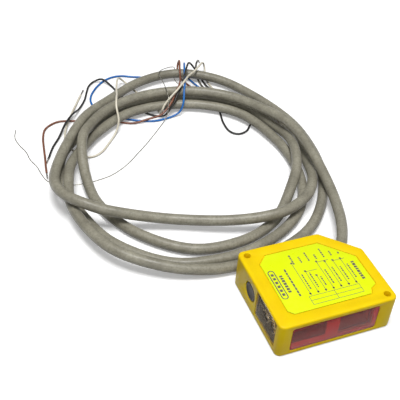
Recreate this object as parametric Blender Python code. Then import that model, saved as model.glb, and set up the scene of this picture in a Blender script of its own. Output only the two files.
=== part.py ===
"""Rectangular photoelectric distance sensor with an attached five-wire cable.

The housing stands on its cover with its optical window facing -Y. The origin
is the centre of the housing's footprint, +X runs along the window face, +Y
points to the back and +Z is up. All lengths are in metres.
"""
import math

import bmesh
import bpy
from mathutils import Vector

MM = 0.001
GAP = 0.3 * MM

# Housing
BODY_X = 60.0 * MM
BODY_Y = 50.0 * MM
BODY_Z = 20.0 * MM
CHAMFER = 16.4 * MM
CORNER_RADIUS = 3.0 * MM
EDGE_ROUND = 0.9 * MM
ROOF_BOTTOM = 18.0 * MM
LEDGE_Z = 2.2 * MM
COVER_THICKNESS = 1.2 * MM
COVER_INSET = 1.3 * MM

# Mounting holes, right through the housing at two opposite corners
MOUNT_HOLE_RADIUS = 1.7 * MM
MOUNT_HOLES = ((-26.0 * MM, 21.2 * MM), (26.0 * MM, -21.2 * MM))

# Label recess on the roof: a rectangle with every corner cut back
LABEL_X = (-23.0 * MM, 24.5 * MM)
LABEL_Y = (-19.0 * MM, 19.0 * MM)
LABEL_RECESS = 0.55 * MM
LABEL_CHAMFER = 14.0 * MM
LABEL_HOLE_CUT = 5.0 * MM
LABEL_SMALL_CUT = 2.5 * MM

# Front window
WINDOW_X = (-23.7 * MM, 21.0 * MM)
WINDOW_Z = (2.5 * MM, 17.5 * MM)
WINDOW_CORNER = 1.4 * MM
SEAT_DEPTH = 1.9 * MM
PANE = 0.85 * MM
PANE_BACK = 0.05 * MM
MASK = 0.4 * MM
RECEIVER_VIEW = ((-22.9 * MM, 6.5 * MM), (-5.5 * MM, 16.9 * MM))
EMITTER_VIEW = ((1.0 * MM, 4.6 * MM), (19.0 * MM, 16.5 * MM))

# Indicator window on the left side
INDICATOR_Y = (-21.0 * MM, 0.0 * MM)
INDICATOR_Z = (3.3 * MM, 18.7 * MM)
LED_Y = (-9.4 * MM, -16.0 * MM)
LED_Z = 11.2 * MM

# Push button on the left side
BUTTON_Y = 6.7 * MM
BUTTON_Z = 11.1 * MM
BUTTON_RADIUS = 4.8 * MM
BUTTON_FACE_X = -29.9 * MM

# Cable
CABLE_DIAMETER = 5.8 * MM
WIRE_DIAMETER = 1.3 * MM
DRAIN_DIAMETER = 0.5 * MM
EXIT_HEIGHT = 10.0 * MM
CABLE_HOLE_RADIUS = 3.8 * MM
EXIT = ((BODY_X - CHAMFER) / 2, (BODY_Y - CHAMFER) / 2, EXIT_HEIGHT)
EXIT_TURN = (0.0, math.pi / 2, math.pi / 4)
ALONG_X = (0.0, math.pi / 2, 0.0)
FACING_FRONT = (math.pi / 2, 0.0, 0.0)


def clear_scene():
    for item in list(bpy.data.objects):
        bpy.data.objects.remove(item, do_unlink=True)


def material(name, colour, roughness=0.5, metallic=0.0):
    shade = bpy.data.materials.new(name)
    shade.use_nodes = True
    shader = shade.node_tree.nodes["Principled BSDF"]
    shader.inputs["Base Color"].default_value = (*colour, 1.0)
    shader.inputs["Roughness"].default_value = roughness
    shader.inputs["Metallic"].default_value = metallic
    return shade


def add_mesh(name, mesh_data, shade, location=(0, 0, 0), rotation=(0, 0, 0)):
    mesh = bpy.data.meshes.new(name)
    bmesh.ops.recalc_face_normals(mesh_data, faces=mesh_data.faces)
    mesh_data.to_mesh(mesh)
    mesh_data.free()
    obj = bpy.data.objects.new(name, mesh)
    bpy.context.scene.collection.objects.link(obj)
    obj.location = location
    obj.rotation_euler = rotation
    if shade is not None:
        mesh.materials.append(shade)
    return obj


def prism(name, outline, low, high, shade=None, **place):
    """Closed solid with the given outline, standing between two heights."""
    data = bmesh.new()
    face = data.faces.new([data.verts.new((x, y, low)) for x, y in outline])
    grown = bmesh.ops.extrude_face_region(data, geom=[face])
    raised = [v for v in grown["geom"] if isinstance(v, bmesh.types.BMVert)]
    bmesh.ops.translate(data, verts=raised, vec=(0, 0, high - low))
    return add_mesh(name, data, shade, **place)


def box(name, low, high, shade=None):
    x0, y0, z0 = low
    x1, y1, z1 = high
    return prism(name, [(x0, y0), (x1, y0), (x1, y1), (x0, y1)], z0, z1, shade)


def ring_band(data, lower, upper):
    count = len(lower)
    for i in range(count):
        j = (i + 1) % count
        data.faces.new((lower[i], lower[j], upper[j], upper[i]))


def turned(name, profile, shade=None, sides=24, **place):
    """Solid of revolution about local Z, from (radius, height) pairs."""
    data = bmesh.new()
    rings = []
    for radius, height in profile:
        if radius == 0:
            rings.append([data.verts.new((0, 0, height))])
            continue
        angles = [2 * math.pi * i / sides for i in range(sides)]
        rings.append([
            data.verts.new((radius * math.cos(a), radius * math.sin(a), height))
            for a in angles
        ])
    pairs = list(zip(rings, rings[1:]))
    if profile[0][0] != 0 and profile[-1][0] != 0:
        pairs.append((rings[-1], rings[0]))
    for lower, upper in pairs:
        if len(lower) == 1:
            for i in range(sides):
                data.faces.new((lower[0], upper[(i + 1) % sides], upper[i]))
        elif len(upper) == 1:
            for i in range(sides):
                data.faces.new((lower[i], lower[(i + 1) % sides], upper[0]))
        else:
            ring_band(data, lower, upper)
    obj = add_mesh(name, data, shade, **place)
    obj.data.shade_smooth()
    obj.data.set_sharp_from_angle(angle=math.radians(35))
    return obj


def disc(name, radius, low, high, shade=None, sides=24, **place):
    profile = [(0, low), (radius, low), (radius, high), (0, high)]
    return turned(name, profile, shade, sides, **place)


def tube_ring(name, outer, inner, low, high, shade=None, sides=24, **place):
    profile = [(inner, low), (outer, low), (outer, high), (inner, high)]
    return turned(name, profile, shade, sides, **place)


def rounded(corners, radius, steps=3):
    """Outline with each corner replaced by a short arc."""
    outline = []
    count = len(corners)
    for i in range(count):
        here = Vector(corners[i])
        back = (Vector(corners[i - 1]) - here).normalized()
        ahead = (Vector(corners[(i + 1) % count]) - here).normalized()
        half = math.acos(max(-1, min(1, back.dot(ahead)))) / 2
        centre = here + (back + ahead).normalized() * radius / math.sin(half)
        start = here + back * radius / math.tan(half) - centre
        end = here + ahead * radius / math.tan(half) - centre
        sweep = math.atan2(start.x * end.y - start.y * end.x, start.dot(end))
        for k in range(steps + 1):
            turn = sweep * k / steps
            x = start.x * math.cos(turn) - start.y * math.sin(turn)
            y = start.x * math.sin(turn) + start.y * math.cos(turn)
            outline.append((centre.x + x, centre.y + y))
    return outline


def housing_corners(inset):
    """Footprint of the housing, drawn in by a distance on every side."""
    x = BODY_X / 2 - inset
    y = BODY_Y / 2 - inset
    cut = CHAMFER - inset * (2 - math.sqrt(2))
    return [(-x, -y), (x, -y), (x, y - cut), (x - cut, y), (-x, y)]


def housing_outline(inset):
    radius = max(CORNER_RADIUS - inset, 0.8 * MM)
    return rounded(housing_corners(inset), radius)


def cavity_outline(inset=0.0):
    """Inside of the walls, stepping round the two mounting pillars."""
    slope = (BODY_X + BODY_Y) / 2 - CHAMFER - 2.4 * MM * math.sqrt(2)
    corners = [
        (-27.0 * MM, -22.0 * MM), (20.0 * MM, -22.0 * MM), (27.6 * MM, -15.0 * MM),
        (27.6 * MM, slope - 27.6 * MM), (slope - 22.6 * MM, 22.6 * MM),
        (-20.0 * MM, 22.6 * MM), (-27.0 * MM, 15.4 * MM),
    ]
    if inset:
        middle = Vector((0.0, 0.0))
        for i, corner in enumerate(corners):
            pull = (middle - Vector(corner)).normalized() * inset
            corners[i] = tuple(Vector(corner) + pull)
    return rounded(corners, 0.8 * MM, 2)


def cut(target, cutter):
    """Take the cutter's volume out of the target."""
    cutter.hide_render = True
    cutter.display_type = "WIRE"
    step = target.modifiers.new("cut_" + cutter.name, "BOOLEAN")
    step.operation = "DIFFERENCE"
    step.solver = "EXACT"
    step.object = cutter


def soften(target, width, segments=2, angle=40):
    step = target.modifiers.new("edge_round", "BEVEL")
    step.width = width
    step.segments = segments
    step.limit_method = "ANGLE"
    step.angle_limit = math.radians(angle)


def smooth_curve(route, count, lowest):
    """Even steps along the smooth curve through a route's points."""
    points = [Vector(p) * MM for p in route]
    points.insert(0, points[0] * 2 - points[1])
    points.append(points[-1] * 2 - points[-2])
    spans = len(route) - 1
    result = []
    for k in range(count):
        place = spans * k / (count - 1)
        i = min(int(place), spans - 1)
        t = place - i
        a, b, c, d = points[i:i + 4]
        spot = (b * 2 + (c - a) * t + (a * 2 - b * 5 + c * 4 - d) * t * t
                + (b * 3 - a - c * 3 + d) * t * t * t) / 2
        spot.z = max(spot.z, lowest)
        result.append(spot)
    return result


def tube(name, points, diameter, shade, resolution=2):
    """Round cord of one diameter along a list of points, closed at its ends."""
    data = bpy.data.curves.new(name, "CURVE")
    data.dimensions = "3D"
    data.bevel_depth = diameter / 2
    data.bevel_resolution = resolution
    data.use_fill_caps = True
    spline = data.splines.new("POLY")
    spline.points.add(len(points) - 1)
    for knot, spot in zip(spline.points, points):
        knot.co = (*spot, 1.0)
    data.materials.append(shade)
    obj = bpy.data.objects.new(name, data)
    bpy.context.scene.collection.objects.link(obj)
    return obj


def cord(name, route, diameter, count, shade, resolution=2):
    lowest = diameter / 2 + 0.02 * MM
    return tube(name, smooth_curve(route, count, lowest), diameter, shade, resolution)


def make_materials():
    return {
        "housing": material("housing_yellow", (0.93, 0.68, 0.01), 0.42),
        "cover": material("cover_yellow", (0.82, 0.58, 0.02), 0.5),
        "label": material("label_lime", (0.82, 0.93, 0.02), 0.35),
        "red": material("window_red", (0.32, 0.02, 0.015), 0.08),
        "mask": material("mask_red", (0.55, 0.06, 0.03), 0.5),
        "smoke": material("window_smoke", (0.03, 0.022, 0.015), 0.1),
        "black": material("moulded_black", (0.02, 0.02, 0.02), 0.5),
        "rubber": material("seal_rubber", (0.03, 0.03, 0.03), 0.8),
        "lens": material("lens_clear", (0.75, 0.75, 0.72), 0.05),
        "board": material("board_green", (0.02, 0.18, 0.06), 0.45),
        "chip": material("chip_black", (0.015, 0.015, 0.016), 0.35),
        "can": material("tinned_metal", (0.7, 0.69, 0.66), 0.3, 1.0),
        "ceramic": material("capacitor_tan", (0.45, 0.3, 0.15), 0.5),
        "led": material("led_white", (0.85, 0.84, 0.75), 0.3),
        "button": material("button_grey", (0.07, 0.065, 0.06), 0.55),
        "jacket": material("jacket_grey", (0.24, 0.23, 0.18), 0.5),
        "brown": material("wire_brown", (0.16, 0.05, 0.025), 0.4),
        "blue": material("wire_blue", (0.03, 0.14, 0.42), 0.4),
        "white": material("wire_white", (0.78, 0.75, 0.65), 0.4),
        "dark": material("wire_black", (0.02, 0.02, 0.018), 0.4),
        "grey": material("wire_grey", (0.2, 0.19, 0.16), 0.4),
        "tinned": material("wire_tinned", (0.62, 0.6, 0.55), 0.3, 1.0),
    }


def make_housing(shade):
    """Moulded shell, open underneath, with every window and hole cut in it."""
    shell = prism("housing_shell", housing_outline(0), 0, BODY_Z, shade["housing"])
    soften(shell, EDGE_ROUND)

    cutters = [
        prism("cutter_cover_seat", housing_outline(COVER_INSET), -MM, LEDGE_Z),
        prism("cutter_cavity", cavity_outline(), -MM, ROOF_BOTTOM),
    ]
    x0, x1 = WINDOW_X
    z0, z1 = WINDOW_Z
    seat = rounded([(x0, z0), (x1, z0), (x1, z1), (x0, z1)], WINDOW_CORNER)
    cutters.append(prism("cutter_window_seat", seat, 0, MM + SEAT_DEPTH,
                         rotation=FACING_FRONT,
                         location=(0, -BODY_Y / 2 + SEAT_DEPTH, 0)))
    cutters.append(box("cutter_window_opening",
                       (x0 + 0.6 * MM, -24.5 * MM, z0 + 1.8 * MM),
                       (x1 - 1.6 * MM, -21.0 * MM, z1 - 0.4 * MM)))
    y0, y1 = INDICATOR_Y
    z0, z1 = INDICATOR_Z
    cutters.append(box("cutter_indicator_seat", (-31.0 * MM, y0, z0),
                       (-BODY_X / 2 + SEAT_DEPTH, y1, z1)))
    cutters.append(box("cutter_indicator_opening",
                       (-29.5 * MM, y0 + 1.7 * MM, z0 + 1.7 * MM),
                       (-26.0 * MM, y1 - 1.7 * MM, z1 - 1.9 * MM)))
    cutters.append(disc("cutter_button_hole", BUTTON_RADIUS + GAP, 0, 5 * MM,
                        sides=40, rotation=ALONG_X,
                        location=(-31.0 * MM, BUTTON_Y, BUTTON_Z)))
    cutters.append(disc("cutter_cable_hole", CABLE_HOLE_RADIUS, -6 * MM, 2 * MM,
                        sides=32, rotation=EXIT_TURN, location=EXIT))
    for number, (x, y) in enumerate(MOUNT_HOLES, 1):
        cutters.append(disc(f"cutter_mount_hole_{number}", MOUNT_HOLE_RADIUS,
                            -MM, BODY_Z + MM, location=(x, y, 0)))
    cutters.append(prism("cutter_label_recess", label_outline(0),
                         BODY_Z - LABEL_RECESS, BODY_Z + MM))
    for cutter in cutters:
        cut(shell, cutter)

    cover = prism("base_cover", housing_outline(COVER_INSET + GAP), 0,
                  COVER_THICKNESS, shade["cover"])
    for number, (x, y) in enumerate(MOUNT_HOLES, 1):
        hole = disc(f"cutter_cover_hole_{number}", MOUNT_HOLE_RADIUS + 0.1 * MM,
                    -MM, 3 * MM, location=(x, y, 0))
        cut(cover, hole)

    low = COVER_THICKNESS + GAP
    high = LEDGE_Z - GAP
    gasket = prism("cover_gasket", housing_outline(COVER_INSET + GAP), low, high,
                   shade["rubber"])
    cut(gasket, prism("cutter_gasket", cavity_outline(0.25 * MM), 0, 4 * MM))
    for number, (x, y) in enumerate(MOUNT_HOLES, 1):
        hole = disc(f"cutter_gasket_hole_{number}", MOUNT_HOLE_RADIUS + 0.1 * MM,
                    0, 4 * MM, location=(x, y, 0))
        cut(gasket, hole)


def label_outline(inset):
    """Edge of the recess on the roof, cut back at the two mounting holes."""
    x0, x1 = LABEL_X
    y0, y1 = LABEL_Y
    corners = [
        (x0 + LABEL_SMALL_CUT, y0), (x1 - LABEL_HOLE_CUT, y0),
        (x1 - 0.7 * LABEL_HOLE_CUT, y0 + 0.6 * LABEL_HOLE_CUT),
        (x1, y0 + LABEL_HOLE_CUT), (x1, y1 - LABEL_CHAMFER),
        (x1 - LABEL_CHAMFER, y1), (x0 + LABEL_HOLE_CUT, y1),
        (x0, y1 - LABEL_HOLE_CUT), (x0, y0 + LABEL_SMALL_CUT),
    ]
    points = [Vector(corner) for corner in corners]
    if inset:
        points = [p - p.normalized() * inset for p in points]
    return rounded(points, 0.6 * MM, 2)


def make_windows(shade):
    prism("label_plate", label_outline(0.45 * MM), BODY_Z - 0.25 * MM,
          BODY_Z - 0.05 * MM, shade["label"])

    x0, x1 = WINDOW_X[0] + GAP, WINDOW_X[1] - GAP
    z0, z1 = WINDOW_Z[0] + GAP, WINDOW_Z[1] - GAP
    pane = rounded([(x0, z0), (x1, z0), (x1, z1), (x0, z1)], WINDOW_CORNER - GAP)
    prism("front_window", pane, PANE_BACK, PANE_BACK + PANE, shade["red"],
          rotation=FACING_FRONT,
          location=(0, -BODY_Y / 2 + PANE + 2 * PANE_BACK, 0))

    y0, y1 = INDICATOR_Y
    z0, z1 = INDICATOR_Z
    box("indicator_window",
        (-BODY_X / 2 + PANE_BACK, y0 + GAP, z0 + GAP),
        (-BODY_X / 2 + PANE_BACK + PANE, y1 - GAP, z1 - GAP), shade["smoke"])


def make_masks(shade):
    """Thin plates behind the two panes, open only where light passes."""
    x0, x1 = WINDOW_X[0] + GAP, WINDOW_X[1] - GAP
    z0, z1 = WINDOW_Z[0] + GAP, WINDOW_Z[1] - GAP
    sheet = rounded([(x0, z0), (x1, z0), (x1, z1), (x0, z1)], WINDOW_CORNER - GAP)
    back = -BODY_Y / 2 + SEAT_DEPTH - GAP
    mask = prism("window_mask", sheet, 0, MASK, shade["mask"], rotation=FACING_FRONT,
                 location=(0, back, 0))
    for name, (low, high) in (("receiver", RECEIVER_VIEW), ("emitter", EMITTER_VIEW)):
        cut(mask, box(f"cutter_{name}_view", (low[0], back - MM, low[1]),
                      (high[0], back + MM, high[1])))

    y0, y1 = INDICATOR_Y
    z0, z1 = INDICATOR_Z
    back = -BODY_X / 2 + SEAT_DEPTH - GAP
    mask = box("indicator_mask", (back - MASK, y0 + GAP, z0 + GAP),
               (back, y1 - GAP, z1 - GAP), shade["black"])
    for number, y in enumerate(LED_Y, 1):
        cut(mask, disc(f"cutter_led_view_{number}", 2.3 * MM, 0, 3 * MM, sides=24,
                       rotation=ALONG_X, location=(back - 1.5 * MM, y, LED_Z)))


def make_optics(shade):
    """Two light-tight chambers side by side, each with a lens and a device."""
    chambers = (
        ("receiver_chamber", (-21.4 * MM, -3.6 * MM), -13.4 * MM, 2.4 * MM),
        ("emitter_chamber", (0.0, 18.6 * MM), 9.6 * MM, 1.9 * MM),
    )
    for name, (x0, x1), centre, hole in chambers:
        chamber = box(name, (x0, -21.7 * MM, 3.9 * MM), (x1, -10.4 * MM, 17.5 * MM),
                      shade["black"])
        inside = box("cutter_" + name, (x0 + MM, -23.0 * MM, 4.9 * MM),
                     (x1 - MM, -11.6 * MM, 16.7 * MM))
        port = disc(f"cutter_{name}_port", hole, -3 * MM, 3 * MM, sides=20,
                    rotation=FACING_FRONT, location=(centre, -11.0 * MM, 10.2 * MM))
        cut(chamber, inside)
        cut(chamber, port)
    box("light_baffle", (-2.4 * MM, -21.7 * MM, 3.9 * MM),
        (-1.2 * MM, -10.4 * MM, 17.5 * MM), shade["black"])

    dome = [(0, 0), (5.2, 0), (5.2, 0.9), (4.4, 1.6), (3.2, 2.2), (1.8, 2.6), (0, 2.8)]
    for name, centre, scale in (("receiver_lens", -13.4 * MM, 1.0),
                                ("emitter_lens", 9.6 * MM, 0.9)):
        profile = [(r * scale * MM, h * scale * MM) for r, h in dome]
        turned(name, profile, shade["lens"], 28, rotation=FACING_FRONT,
               location=(centre, -16.2 * MM, 10.4 * MM))

    box("optics_board", (-21.0 * MM, -9.0 * MM, 3.9 * MM),
        (18.6 * MM, -7.8 * MM, 16.9 * MM), shade["board"])
    box("receiver_detector", (-14.9 * MM, -11.2 * MM, 8.7 * MM),
        (-11.9 * MM, -9.3 * MM, 11.7 * MM), shade["chip"])
    turned("emitter_diode",
           [(0, 0), (1.4 * MM, 0), (1.4 * MM, 2.2 * MM), (0.8 * MM, 3.0 * MM),
            (0, 3.3 * MM)],
           shade["can"], 20, rotation=FACING_FRONT,
           location=(9.6 * MM, -9.3 * MM, 10.2 * MM))


def make_electronics(shade):
    """Main board with its parts, and the small board behind the left wall."""
    top = 6.2 * MM
    outline = [(-21.0, -7.2), (26.8, -7.2), (26.8, 3.6), (8.8, 21.6),
               (-15.5, 21.6), (-21.0, 16.0)]
    prism("main_board", [(x * MM, y * MM) for x, y in outline], 5.0 * MM, top,
          shade["board"])
    rest = top + GAP
    box("processor_chip", (-12.0 * MM, 0.0, rest), (-2.0 * MM, 10.0 * MM, rest + 1.4 * MM),
        shade["chip"])
    box("regulator_chip", (4.0 * MM, -4.0 * MM, rest),
        (10.5 * MM, 2.5 * MM, rest + 2.2 * MM), shade["chip"])
    disc("capacitor_1", 2.5 * MM, 0, 5.4 * MM, shade["can"], 20,
         location=(16.5 * MM, -2.0 * MM, rest))
    disc("capacitor_2", 2.0 * MM, 0, 4.4 * MM, shade["can"], 20,
         location=(22.2 * MM, -2.2 * MM, rest))
    box("terminal_block", (3.5 * MM, 5.6 * MM, rest), (7.5 * MM, 18.4 * MM, rest + 3.4 * MM),
        shade["black"])

    box("side_board", (-22.9 * MM, -20.6 * MM, 4.0 * MM),
        (-21.7 * MM, 12.6 * MM, 16.6 * MM), shade["board"])
    face = -23.2 * MM
    switch = box("tactile_switch", (face - 2.0 * MM, BUTTON_Y - 3 * MM, BUTTON_Z - 3 * MM),
                 (face, BUTTON_Y + 3 * MM, BUTTON_Z + 3 * MM), shade["chip"])
    bore = disc("cutter_switch_bore", 1.8 * MM, 0, 2.4 * MM, sides=20, rotation=ALONG_X,
                location=(face - 3.0 * MM, BUTTON_Y, BUTTON_Z))
    cut(switch, bore)
    for number, y in enumerate(LED_Y, 1):
        box(f"status_led_{number}", (face - 1.1 * MM, y - 1.2 * MM, LED_Z - 1.2 * MM),
            (face, y + 1.2 * MM, LED_Z + 1.2 * MM), shade["led"])
        turned(f"light_pipe_{number}",
               [(0, 0), (1.3 * MM, 0.4 * MM), (1.9 * MM, 1.0 * MM),
                (1.9 * MM, 4.1 * MM), (0, 4.1 * MM)],
               shade["lens"], 20, rotation=ALONG_X,
               location=(-28.75 * MM, y, LED_Z))


def make_button(shade):
    """Dished push button and the small plunger that it presses."""
    radius = BUTTON_RADIUS
    profile = [
        (0, 0.45 * MM), (radius - 1.5 * MM, 0.3 * MM), (radius - 0.9 * MM, 0),
        (radius - 0.3 * MM, 0), (radius, 0.3 * MM), (radius, 3.2 * MM),
        (radius + 0.8 * MM, 3.2 * MM), (radius + 0.8 * MM, 3.8 * MM), (0, 3.8 * MM),
    ]
    turned("push_button", profile, shade["button"], 36, rotation=ALONG_X,
           location=(BUTTON_FACE_X, BUTTON_Y, BUTTON_Z))
    disc("switch_plunger", 1.5 * MM, 0, 1.4 * MM, shade["led"], 20, rotation=ALONG_X,
         location=(-25.8 * MM, BUTTON_Y, BUTTON_Z))


def make_cable_entry(shade):
    """Gland in the chamfered corner, and the end of the cable inside it."""
    profile = [
        (3.2, -2.6), (3.5, -2.6), (3.5, 0.3), (4.3, 0.3), (4.3, 1.3),
        (3.9, 2.5), (3.2, 2.5),
    ]
    turned("cable_gland", [(r * MM, h * MM) for r, h in profile], shade["jacket"], 28,
           rotation=EXIT_TURN, location=EXIT)
    disc("cable_inner_end", CABLE_DIAMETER / 2, -5.6 * MM, 0.5 * MM, shade["jacket"], 20,
         rotation=EXIT_TURN, location=EXIT)
    tube_ring("cable_clamp", 4.4 * MM, 3.2 * MM, -5.0 * MM, -3.2 * MM, shade["can"], 28,
              rotation=EXIT_TURN, location=EXIT)

    along = Vector((1, 1, 0)).normalized()
    across = Vector((1, -1, 0)).normalized()
    start = Vector(EXIT) - along * 6.1 * MM
    leads = (("brown", 0), ("blue", 2), ("white", 1), ("dark", -1), ("grey", -2))
    for number, (colour, slot) in enumerate(leads):
        turn = math.radians(90 + 72 * number)
        offset = (across * math.cos(turn) + Vector((0, 0, 1)) * math.sin(turn)) * 1.5 * MM
        first = start + offset
        landing = Vector((7.9, 12.0 + slot * 2.4, 8.3)) * MM
        route = [first, first - along * 2.2 * MM, landing + Vector((2.4 * MM, 0, 0)), landing]
        name = "inner_lead_" + ("black" if colour == "dark" else colour)
        points = smooth_curve([p / MM for p in route], 10, 0)
        tube(name, points, 1.1 * MM, shade[colour])


# The cable's route from the gland: four loose turns laid on one another behind
# the housing, in millimetres.
CABLE_ROUTE = [
    (22.5, 17.5, 10), (30.5, 26.5, 10), (38.5, 43, 9.2), (44.5, 66, 9.6),
    (46.5, 92, 13.2), (46, 118, 14.7), (38.5, 143, 11.8), (23, 164, 11),
    (0, 176.5, 10.8), (-26, 179, 10.8), (-50, 172, 10.8), (-67, 158, 11),
    (-76.3, 141.2, 12.5), (-80, 119, 5.2), (-78.5, 95, 3), (-66, 69, 3),
    (-43, 49.3, 3), (-16, 46.8, 3), (7, 56, 3), (24, 73, 7),
    (36, 90, 9.8), (43.5, 112, 8.5), (43, 131, 5), (34, 155.5, 4.6),
    (12, 174.5, 4.6), (-16, 181.5, 4.6), (-44, 178, 4.6), (-68, 163, 4.6),
    (-87.8, 142.2, 4.6), (-94, 117.5, 4), (-90, 93, 3), (-80, 66, 3),
    (-57.5, 44, 3), (-31, 38, 3), (-6, 41.5, 3), (17, 53.5, 3),
    (32, 72, 3), (39, 97, 3), (38, 122, 3.8), (28.8, 149, 4.6),
    (10, 166, 4.6), (-15, 173.4, 4.6), (-41, 171, 4.6), (-64, 156.5, 4.6),
    (-81, 138.2, 4.8), (-90, 117, 10), (-94, 91, 9.2), (-85, 59, 9.4),
    (-64, 40, 7.4), (-37, 31.6, 4), (-8, 33, 3), (19, 42.5, 3),
    (38, 61, 3), (51, 86, 3), (56, 113, 3), (55, 138, 3),
    (45.5, 167, 3.2), (29, 192, 4.6), (5, 206, 5), (-22, 203, 5),
    (-46.5, 188, 5.6), (-68, 167, 10.6), (-84.5, 143.5, 11), (-95, 124, 11.4),
    (-99.3, 109, 13.4), (-97, 96, 15.4), (-89, 86.2, 15.2), (-75.5, 79, 12),
    (-47, 70.5, 6.4), (-17, 58.5, 7.7), (8, 53.5, 10.5), (28, 62.5, 9),
    (40, 77, 7), (45, 91, 5), (48.4, 108, 3.2), (49.6, 124, 3),
    (48.6, 135, 3),
]

# Each wire lies over and under the turns of the cable, in millimetres.
BROWN_ROUTE = [
    (47.2, 135.5, 3.4), (46, 142, 2.8), (42.4, 148.4, 1.2), (37.4, 157.4, 0.7),
    (30.9, 165.9, 0.7), (23.9, 173.9, 0.7), (17.4, 181.9, 0.7), (12.5, 189, 0.7),
    (9.5, 197, 0.7), (7.5, 205, 0.8), (7.2, 211, 2), (8.4, 215, 5.2),
    (9, 214.6, 9), (7.6, 209.5, 11.2), (5.4, 203, 10.6), (1.2, 190, 10.5),
    (-1.5, 184, 13), (-4.3, 177.4, 15), (-8.4, 173.2, 12.9), (-12.3, 169.3, 8.5),
    (-20, 165.5, 3.8), (-29.5, 165.2, 2.2), (-38, 165.5, 0.9), (-46, 169.2, 0.7),
    (-53, 173.5, 0.7), (-62, 176.3, 0.7), (-71, 178, 0.7), (-80.5, 180.3, 0.7),
    (-87, 178.3, 0.7), (-91.5, 174, 0.7), (-94, 167, 0.7), (-95.4, 159, 0.7),
    (-97, 148, 0.7), (-98.3, 140, 0.7), (-99.2, 133.5, 0.7),
]

BLUE_ROUTE = [
    (48.5, 135.5, 4.35), (47.6, 142.5, 3.3), (43.8, 149.5, 1), (38.8, 158.5, 0.7),
    (32.3, 167, 0.7), (25.3, 175, 0.7), (18.8, 183, 0.7), (15.6, 192, 0.7),
    (13, 201.5, 0.7), (12, 208, 1.1), (12.2, 211.8, 3.8), (11.8, 211.6, 7.6),
    (10.4, 208, 10.4), (8, 201, 10.2), (4.2, 190, 10.6), (1.9, 184, 12.6),
    (-0.4, 177.6, 15), (-2.4, 173.3, 13.5), (-4.6, 168, 8), (-7.3, 166.4, 3),
    (-12.5, 165.4, 1), (-18.5, 164.5, 0.7), (-25, 164.3, 0.7), (-31.5, 166.3, 0.7),
    (-38, 169.5, 0.7), (-43, 173, 0.7), (-50, 180, 0.7), (-55.5, 187, 0.7),
    (-57.2, 193, 0.7), (-56.3, 199.5, 0.7), (-53, 206, 0.7), (-48, 212.3, 0.7),
    (-42.1, 217.3, 0.7), (-36.1, 219.8, 0.7), (-30, 219.7, 0.7), (-24.6, 217.3, 0.7),
    (-18.5, 214.8, 0.7), (-15, 212.3, 0.7),
]

WHITE_ROUTE = [
    (49.8, 135.5, 3.4), (49.3, 143, 2.4), (46.6, 151.8, 0.8), (41.6, 160.6, 0.7),
    (35.1, 169.1, 0.7), (28.6, 177.5, 0.7), (24.3, 186, 0.7), (23.3, 194.5, 0.7),
    (24, 201, 0.8), (25.2, 206.5, 1.2), (26, 210, 4.2), (24.2, 209.2, 8.2),
    (19.4, 203.2, 10.2), (13, 196.8, 10.4), (6.6, 190, 12.3), (3.2, 184, 14.9),
    (-0.3, 178.5, 17), (-7.2, 172.6, 15.2), (-12, 171, 11.8), (-16.4, 169.4, 8),
    (-18.3, 168.6, 4.8), (-18.6, 170.6, 1.2), (-19.5, 176, 0.7), (-22, 185, 0.7),
    (-25, 195, 0.7), (-27.5, 203, 0.7), (-30, 209.8, 1.6), (-33.8, 210, 5.4),
    (-37.3, 203.3, 8.8), (-40.5, 194, 9.3), (-43.2, 184, 11), (-46, 174.8, 15.4),
    (-47.9, 168.4, 13), (-48.4, 162.2, 7.2), (-51, 158.8, 2), (-57, 151.5, 0.7),
    (-63.8, 143.8, 0.7), (-70.2, 140.6, 0.7), (-76, 142.5, 0.7), (-80.5, 151, 0.7),
    (-81.8, 162, 0.7), (-78.2, 172.8, 2), (-72.5, 183.5, 2.6), (-66.4, 196, 0.8),
    (-61.3, 205, 0.7),
]

BLACK_ROUTE = [
    (47.7, 135.5, 1.9), (46.3, 139.7, 0.9), (42, 143.3, 0.7), (36.8, 145.3, 0.7),
    (31.6, 143.5, 0.7), (26.5, 138, 0.7), (20.5, 136.5, 0.7), (16.2, 140.7, 0.7),
    (15.8, 150, 0.7), (18, 161.5, 0.7), (19, 170, 0.7), (19.8, 176, 2.2),
    (20.8, 185, 2.4), (20.7, 193, 0.8), (20.6, 199, 0.7), (20.2, 204.5, 2),
    (18.4, 207.2, 4.8), (16.2, 208.8, 8), (13.6, 207.6, 10.8), (10.4, 202.8, 11.4),
    (3.8, 190, 12.5), (0.6, 184, 14.1), (-2.3, 177.5, 14.9), (-6.2, 173.2, 12.6),
    (-10.5, 169.1, 8.2), (-13.5, 167.8, 4.8), (-17, 167.2, 1.6), (-21.5, 168.8, 0.7),
    (-26.5, 173, 0.7), (-31, 180, 0.7), (-34.8, 190, 0.7), (-37.6, 200, 0.7),
    (-39.6, 209.5, 0.8), (-43.9, 216.3, 2.6), (-49.3, 217.4, 1.1), (-53.8, 213.5, 0.7),
    (-56.7, 207.5, 0.7), (-60.6, 198.4, 0.7), (-66.5, 189, 1.4), (-72.8, 180.2, 4.4),
    (-79, 172.4, 4), (-85, 163.9, 1.2), (-90.5, 156, 0.7), (-95.3, 146.3, 0.7),
]

GREY_ROUTE = [
    (49.3, 135.5, 1.9), (48.2, 142, 0.9), (44.9, 150.4, 0.7), (40.1, 159.5, 0.7),
    (33.6, 168, 0.7), (26.8, 176.2, 0.7), (20.6, 184, 0.7), (18.2, 191.5, 0.7),
    (18, 198, 0.7), (18.6, 204.5, 0.7), (19.8, 210, 1.8), (21, 212.8, 5.4),
    (21.2, 211, 9.2), (20.3, 207, 11.2),
]

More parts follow.
